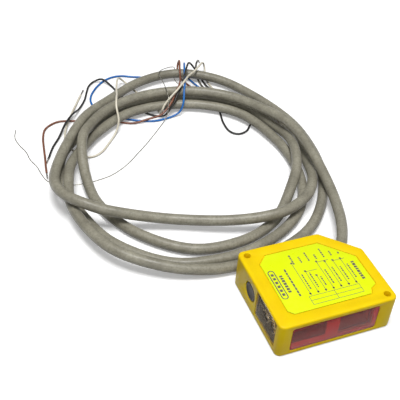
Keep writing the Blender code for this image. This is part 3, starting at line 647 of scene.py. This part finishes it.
# Each wire's route, and the length of its stripped end in millimetres.
WIRES = {
    "brown": (BROWN_ROUTE, 5.0),
    "blue": (BLUE_ROUTE, 4.0),
    "white": (WHITE_ROUTE, 6.0),
    "black": (BLACK_ROUTE, 4.5),
    "grey": (GREY_ROUTE, 3.0),
}

lay_cord("cable", "cable_jacket", CABLE_ROUTE, CABLE_DIAMETER, 8, MAT["jacket"])
for colour, (route, tip) in WIRES.items():
    lay_cord(f"{colour}_wire", f"wire_{colour}", route, WIRE_DIAMETER, 4,
             MAT[f"{colour}_wire"], extra=HIDDEN_START, tip=tip)
lay_cord("drain_wire", "wire_drain", DRAIN_ROUTE, DRAIN_DIAMETER, 3, MAT["drain"],
         extra=HIDDEN_START)


# ---------------------------------------------------------------- housing

BODY_X, BODY_Y, BODY_Z = 60 * MM, 50 * MM, 20 * MM
CHAMFER = 16.4 * MM
WALL = 2.4 * MM
INNER_X, INNER_Y = 27.6 * MM, 22.6 * MM
CAVITY_TOP = 18 * MM
COVER_INSET = 1.3 * MM
COVER_SEAT = 2.2 * MM
LABEL_X = (-23.0 * MM, 24.5 * MM)
LABEL_Y = (-19.0 * MM, 19.0 * MM)
LABEL_CHAMFER = 14.0 * MM
LABEL_HOLE_CUT = 5.0 * MM
LABEL_SMALL_CUT = 2.5 * MM
LABEL_NOTCH = (0.7, 0.6)     # inner corner of a hole cut, as parts of the cut
LABEL_RADIUS = 0.7 * MM
LABEL_RECESS = 0.55 * MM
FILM_INSET = 0.42 * MM
FILM_Z = (BODY_Z - 0.25 * MM, BODY_Z - 0.05 * MM)
INK_Z = (BODY_Z - 0.06 * MM, BODY_Z - 0.03 * MM)
WINDOW_X = (-23.7 * MM, 21.0 * MM)
WINDOW_Z = (2.5 * MM, 17.5 * MM)
INDICATOR_Y = (-21.0 * MM, 0.0)
INDICATOR_Z = (3.3 * MM, 18.7 * MM)
SEAT_DEPTH = 1.9 * MM
PANE_GAP = 0.26 * MM
PANE_FRONT = 0.05 * MM
PANE_THICKNESS = 0.85 * MM
PANE_BACK = 0.9 * MM
LED_Y = (-9.4 * MM, -16.0 * MM)
LED_Z = 11.2 * MM
BUTTON_AT = Vector((-29.9 * MM, 6.7 * MM, 11.1 * MM))
BUTTON_HOLE_RADIUS = 5.1 * MM
CABLE_HOLE_RADIUS = 3.8 * MM
EXIT = Vector(((BODY_X - CHAMFER) / 2, (BODY_Y - CHAMFER) / 2, 10 * MM))
ALONG_X = (0.0, math.pi / 2, 0.0)
EXIT_TURN = (0.0, math.pi / 2, math.pi / 4)
FACING_FRONT = (math.pi / 2, 0.0, 0.0)
MOUNT_HOLES = ((-26.0 * MM, 21.2 * MM), (26.0 * MM, -21.2 * MM))
MOUNT_HOLE_RADIUS = 1.7 * MM


def housing_outline(inset):
    """The housing's outside edge, moved inward by an inset."""
    x = BODY_X / 2 - inset
    y = BODY_Y / 2 - inset
    corner = CHAMFER - inset * (2 - math.sqrt(2))
    points = [(-x, -y), (x, -y), (x, y - corner), (x - corner, y), (-x, y)]
    return rounded(points, max(3.0 * MM - inset, 0.8 * MM), 10)


def cavity_outline():
    """Inside edge of the walls, with bosses left round the mounting holes."""
    slope = (BODY_X + BODY_Y) / 2 - CHAMFER - WALL * math.sqrt(2)
    return rounded([
        (-27.0 * MM, -22.0 * MM), (20.0 * MM, -22.0 * MM), (INNER_X, -15.0 * MM),
        (INNER_X, slope - INNER_X), (slope - INNER_Y, INNER_Y),
        (-20.0 * MM, INNER_Y), (-27.0 * MM, 15.4 * MM),
    ], 0.8 * MM, 3)


def label_outline(inset):
    """Edge of the roof's recess: one chamfer, and cut back at the mounting holes."""
    x0, x1 = LABEL_X
    y0, y1 = LABEL_Y
    across, along = LABEL_NOTCH
    corners = [
        (x0 + LABEL_SMALL_CUT, y0), (x1 - LABEL_HOLE_CUT, y0),
        (x1 - across * LABEL_HOLE_CUT, y0 + along * LABEL_HOLE_CUT),
        (x1, y0 + LABEL_HOLE_CUT), (x1, y1 - LABEL_CHAMFER),
        (x1 - LABEL_CHAMFER, y1), (x0 + LABEL_HOLE_CUT, y1),
        (x0, y1 - LABEL_HOLE_CUT), (x0, y0 + LABEL_SMALL_CUT),
    ]
    points = [Vector(corner) for corner in corners]
    points = [p - p.normalized() * inset for p in points]
    return rounded(points, LABEL_RADIUS, 5)


def pane_outline(y0, y1, z0, z1, radius, shrink=0.0):
    corners = [(y0 + shrink, z0 + shrink), (y1 - shrink, z0 + shrink),
               (y1 - shrink, z1 - shrink), (y0 + shrink, z1 - shrink)]
    return rounded(corners, radius, 8)


def standing_box(low, high):
    return prism_data(box_outline(low[0], high[0], low[1], high[1]), low[2], high[2])


def build_housing():
    """The moulded shell: softened outside, then every seat and hole cut in."""
    mesh = as_mesh("housing", prism_data(housing_outline(0), 0, BODY_Z))
    shell = link("housing", mesh, MAT["housing"])
    bevel(shell, 1.0 * MM, 5, 40)
    front = -BODY_Y / 2
    side = -BODY_X / 2
    x0, x1 = WINDOW_X
    z0, z1 = WINDOW_Z
    y2, y3 = INDICATOR_Y
    z2, z3 = INDICATOR_Z
    here = (0, 0, 0)
    cutters = [
        # the base cover's seat, and the cavity above it
        (prism_data(housing_outline(COVER_INSET), -MM, COVER_SEAT), here, here),
        (prism_data(cavity_outline(), -MM, CAVITY_TOP), here, here),
        # the front window's seat and opening
        (prism_data(pane_outline(x0, x1, z0, z1, 1.4 * MM), 0, SEAT_DEPTH + MM),
         (0, front + SEAT_DEPTH, 0), FACING_FRONT),
        (standing_box((x0 + 0.6 * MM, -24.5 * MM, z0 + 1.8 * MM),
                      (x1 - 1.6 * MM, -21.0 * MM, z1 - 0.4 * MM)), here, here),
        # the indicator window's seat and opening
        (standing_box((side - MM, y2, z2), (side + SEAT_DEPTH, y3, z3)), here, here),
        (standing_box((-29.5 * MM, y2 + 1.7 * MM, z2 + 1.7 * MM),
                      (-26 * MM, y3 - 1.7 * MM, z3 - 1.9 * MM)), here, here),
        # the button's hole, the cable's hole and the label's recess
        (turned_data([(0, 0), (BUTTON_HOLE_RADIUS, 0),
                      (BUTTON_HOLE_RADIUS, 5 * MM), (0, 5 * MM)], 72),
         (-31 * MM, BUTTON_AT.y, BUTTON_AT.z), ALONG_X),
        (turned_data([(0, -6 * MM), (CABLE_HOLE_RADIUS, -6 * MM),
                      (CABLE_HOLE_RADIUS, 2 * MM), (0, 2 * MM)], 48),
         EXIT, EXIT_TURN),
        (prism_data(label_outline(0), BODY_Z - LABEL_RECESS, BODY_Z + MM),
         here, here),
    ]
    for x, y in MOUNT_HOLES:
        cutters.append((turned_data([
            (0, -MM), (MOUNT_HOLE_RADIUS, -MM), (MOUNT_HOLE_RADIUS, 21 * MM),
            (0, 21 * MM)], 40), (x, y, 0), here))
    helpers = subtract(shell, cutters)
    bevel(shell, 0.12 * MM, 2, 50)
    bake(shell, 30)
    drop(helpers)
    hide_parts("housing_shell")


build_housing()

film = link("label_film", as_mesh("label_film", prism_data(
    label_outline(FILM_INSET), *FILM_Z)), MAT["label"])
bevel(film, 0.06 * MM, 2, 40)
bake(film, 40)
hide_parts("label_plate")


# Generic marks on the label, in millimetres: no lettering, only bars, blocks
# and rules.

BADGE_AT = (-20, -0.5)
BADGE_REACH = 7.5
BADGE_RADII = (1.7, 1.2)
BADGE_SIDES = 48
LINE_START, LINE_PITCH = -8, 4
LINE_TOPS = (9.5, 3, -1, 7, 6, 5.5, 5.5)
TABLE_X = (-9.5, 3.5, 16.5)
TABLE_Y = (-11.5, -14, -16.5)


def bar(data, x0, y0, x1, y1):
    outline = box_outline(x0 * MM, x1 * MM, y0 * MM, y1 * MM)
    add_part(data, prism_data(outline, *INK_Z))


def rule(data, x0, y0, x1, y1, width=0.16):
    if abs(x1 - x0) > abs(y1 - y0):
        bar(data, x0, y0 - width / 2, x1, y0 + width / 2)
    else:
        bar(data, x0 - width / 2, y0, x0 + width / 2, y1)


def dashes(data, x, y0, y1, height, seed, longest=1.6, shortest=0.6, space=0.35):
    """A column of short bars that stands for a line of small print."""
    pick = random.Random(seed)
    y = y0
    while y < y1 - shortest:
        size = min(shortest + (longest - shortest) * pick.random(), y1 - y)
        bar(data, x - height / 2, y, x + height / 2, y + size)
        y += size + space


def badge_ring(data, radius, z):
    """One edge of the stadium-shaped badge."""
    ring = []
    for k in range(BADGE_SIDES):
        angle = 2 * math.pi * k / BADGE_SIDES
        shift = BADGE_REACH if math.sin(angle) >= 0 else -BADGE_REACH
        x = BADGE_AT[0] + radius * math.cos(angle)
        y = BADGE_AT[1] + (radius * math.sin(angle) + shift)
        ring.append(data.verts.new((x * MM, y * MM, z)))
    return ring


def build_print():
    data = bmesh.new()
    # the badge's rim, round a row of blocks
    low, high = INK_Z
    outer, inner = BADGE_RADII
    rings = [badge_ring(data, radius, z) for radius, z in
             ((outer, low), (outer, high), (inner, high), (inner, low))]
    for a, b in zip(rings, rings[1:] + rings[:1]):
        for k in range(BADGE_SIDES):
            j = (k + 1) % BADGE_SIDES
            data.faces.new((a[k], a[j], b[j], b[k]))
    for k in range(6):
        y = -7.5 + k * 2.5
        bar(data, -20.7, y, -19.3, y + 1.5)
    # a heavy line of blocks, a line of small print, and a heavy line opposite
    dashes(data, -16.5, -6.5, 5, 1.5, 3, 1.6, 1.0, 0.4)
    dashes(data, -13, -10, 8.5, 0.9, 5, 2.0, 0.8)
    dashes(data, 20.5, -9.5, 3, 1.5, 9, 1.5, 0.9, 0.4)
    # upright lines, each with a block at both ends and small print beside it
    for number, top in enumerate(LINE_TOPS):
        x = LINE_START + LINE_PITCH * number
        rule(data, x, -11, x, top, 0.24)
        bar(data, x - 0.5, -10.5, x + 0.5, -9.5)
        bar(data, x - 0.5, top, x + 0.5, top + 1)
        dashes(data, x + 1.5, -7.5, min(top, 2), 0.7, 20 + number, 1.3, 0.5)
        end = min(13 if number % 2 else 15.5, 26.5 - x)
        dashes(data, x + 1, 9, end, 0.8, 40 + number, 1.3, 0.6)
    # short cross lines
    for x, y in ((-4, 3), (4, 7), (12, 5.5)):
        rule(data, x, y, x + 6, y, 0.24)
    # an empty table
    for y in TABLE_Y:
        rule(data, TABLE_X[0], y, TABLE_X[-1], y, 0.22)
    for x in TABLE_X:
        rule(data, x, TABLE_Y[-1], x, TABLE_Y[0], 0.22)
    marks = link("label_print", as_mesh("label_print", data, 30), MAT["ink"])


build_print()


# ---------------------------------------------------------------- windows

def build_windows():
    front = -BODY_Y / 2
    side = -BODY_X / 2
    x0, x1 = WINDOW_X
    z0, z1 = WINDOW_Z
    pane = link("front_pane", as_mesh("front_pane", prism_data(
        pane_outline(x0, x1, z0, z1, 1.2 * MM, PANE_GAP), 0, PANE_THICKNESS)),
        MAT["red"], location=(0, front + PANE_BACK, 0), rotation=FACING_FRONT)
    bevel(pane, 0.14 * MM, 3, 40)
    bake(pane, 40)
    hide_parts("front_window")

    y0, y1 = INDICATOR_Y
    z2, z3 = INDICATOR_Z
    pane = link("indicator_pane", as_mesh("indicator_pane", standing_box(
        (side + PANE_FRONT, y0 + PANE_GAP, z2 + PANE_GAP),
        (side + PANE_BACK, y1 - PANE_GAP, z3 - PANE_GAP))), MAT["smoke"])
    bevel(pane, 0.12 * MM, 3, 40)
    bake(pane, 40)
    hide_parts("indicator_window")

    # ribs, and thin printed arcs round the two lights
    face = side + 1.16 * MM
    data = bmesh.new()
    for k in range(6):
        y = (-1.2 - k * 1.05) * MM
        add_part(data, standing_box(
            (face - 0.14 * MM, y - 0.28 * MM, 4.6 * MM),
            (face + 0.1 * MM, y + 0.28 * MM, 17.4 * MM)))
    link("indicator_ribs", as_mesh("indicator_ribs", data, 30), MAT["black"])
    for number, y in enumerate(LED_Y, 1):
        data = bmesh.new()
        points = []
        for k in range(25):
            angle = math.radians(-70 + 230 * k / 24)
            points.append(Vector((face - 0.02 * MM, y - 3.0 * MM * math.cos(angle),
                                  LED_Z + 3.0 * MM * math.sin(angle))))
        strand_data(data, points, 0.16 * MM)
        link(f"light_mark_{number}", as_mesh(f"light_mark_{number}", data, 60),
             MAT["led"])


build_windows()


# ------------------------------------------------- button and cable gland

def build_button():
    """Dished cap with a raised rim and a fine ring moulded in it."""
    r = 4.8      # the cap's radius in millimetres
    profile = [(0, 0.46), (1.6, 0.42), (r - 1.9, 0.34), (r - 1.55, 0.26),
               (r - 1.45, 0.3), (r - 1.2, 0.12), (r - 0.95, 0.03), (r - 0.75, 0),
               (r - 0.4, 0), (r - 0.2, 0.05), (r - 0.06, 0.18), (r, 0.36), (r, 3.2),
               (r + 0.8, 3.2), (r + 0.8, 3.8), (0, 3.8)]
    data = turned_data([(a * MM, b * MM) for a, b in profile], 96)
    cap = link("button_cap", as_mesh("button_cap", data, 40), MAT["button"], BUTTON,
               BUTTON_AT, ALONG_X)
    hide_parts("push_button")


def build_gland():
    """Moulded bush round the cable, with grip grooves on its collar."""
    profile = [(3.2, -2.6), (3.5, -2.6), (3.5, 0.28), (4.1, 0.28), (4.28, 0.4),
               (4.3, 0.9), (4.12, 1.0), (4.12, 1.2), (4.24, 1.3), (4.2, 1.7),
               (4.0, 1.8), (4.0, 2.0), (4.05, 2.1), (3.8, 2.44), (3.5, 2.5),
               (3.2, 2.42)]
    data = turned_data([(a * MM, b * MM) for a, b in profile], 64)
    bush = link("gland_bush", as_mesh("gland_bush", data, 50), MAT["jacket"],
                location=EXIT, rotation=EXIT_TURN)
    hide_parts("cable_gland")


build_button()
build_gland()


# ------------------------------------------- materials for the CAD pieces

def dress(material, *names):
    """Give a material to pieces that are shown as they come from the CAD."""
    for name in names:
        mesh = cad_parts[name].data
        mesh.materials.clear()
        mesh.materials.append(material)


dress(MAT["cover"], "base_cover")
dress(MAT["rubber"], "cover_gasket")
dress(MAT["mask"], "window_mask")
dress(MAT["black"], "indicator_mask", "receiver_chamber", "emitter_chamber",
      "light_baffle", "terminal_block")
dress(MAT["lens"], "receiver_lens", "emitter_lens", "light_pipe_1", "light_pipe_2")
dress(MAT["board"], "optics_board", "main_board", "side_board")
dress(MAT["chip"], "receiver_detector", "processor_chip", "regulator_chip",
      "tactile_switch")
dress(MAT["tinned"], "emitter_diode", "capacitor_1", "capacitor_2", "cable_clamp")
dress(MAT["led"], "status_led_1", "status_led_2", "switch_plunger")
dress(MAT["jacket"], "cable_inner_end")
for colour in WIRES:
    dress(MAT[f"{colour}_wire"], f"inner_lead_{colour}")


# ------------------------------------------------------- floor and lights

def build_floor():
    """A white floor that takes the shadows; it isn't part of the sensor."""
    shade = Shade("floor_white", 0.75, Emission_Color=(1, 1, 1, 1),
                  Emission_Strength=0.25)
    tone = shade.ramp(shade.noise(3, 2), 0.2, 0.8)
    shade.colour(shade.mix(tone, (0.93, 0.93, 0.93), (0.95, 0.95, 0.95)))
    data = bmesh.new()
    size = 3.0      # half the floor's width in metres
    data.faces.new([data.verts.new((x, y, 0)) for x, y in
                    ((-size, -size), (size, -size), (size, size), (-size, size))])
    mesh = bpy.data.meshes.new("floor")
    data.to_mesh(mesh)
    data.free()
    floor = link("floor", mesh, shade.material, None)
    floor.visible_diffuse = False


def area_light(name, location, target, size, power):
    data = bpy.data.lights.new(name, "AREA")
    data.shape = "SQUARE"
    data.size = size
    data.energy = power
    lamp = bpy.data.objects.new(name, data)
    scene.collection.objects.link(lamp)
    lamp.location = location
    heading = Vector(target) - Vector(location)
    lamp.rotation_euler = heading.to_track_quat("-Z", "Y").to_euler()


build_floor()
area_light("key", (-0.15, -0.1, 1.25), (0, 0.08, 0), 0.5, 13.6)
area_light("fill", (-0.6, -1.0, 0.45), (0, 0.05, 0), 0.8, 3.5)
area_light("side", (0.9, -0.5, 0.5), (0, 0.05, 0), 0.5, 1.2)


def build_world():
    """A dim white sky that fades to a nearly black surround below."""
    world = bpy.data.worlds.new("world")
    scene.world = world
    world.use_nodes = True
    nodes = world.node_tree.nodes
    links = world.node_tree.links
    place = nodes.new("ShaderNodeTexCoord")
    split = nodes.new("ShaderNodeSeparateXYZ")
    links.new(place.outputs["Generated"], split.inputs["Vector"])
    fade = nodes.new("ShaderNodeMapRange")
    fade.interpolation_type = "SMOOTHSTEP"
    fade.inputs["From Min"].default_value = -0.25
    fade.inputs["From Max"].default_value = 0.3
    fade.inputs["To Min"].default_value = 0.02
    fade.inputs["To Max"].default_value = 0.19
    links.new(split.outputs["Z"], fade.inputs["Value"])
    ground = nodes["Background"]
    ground.inputs["Color"].default_value = (1, 1, 1, 1)
    links.new(fade.outputs["Result"], ground.inputs["Strength"])


build_world()
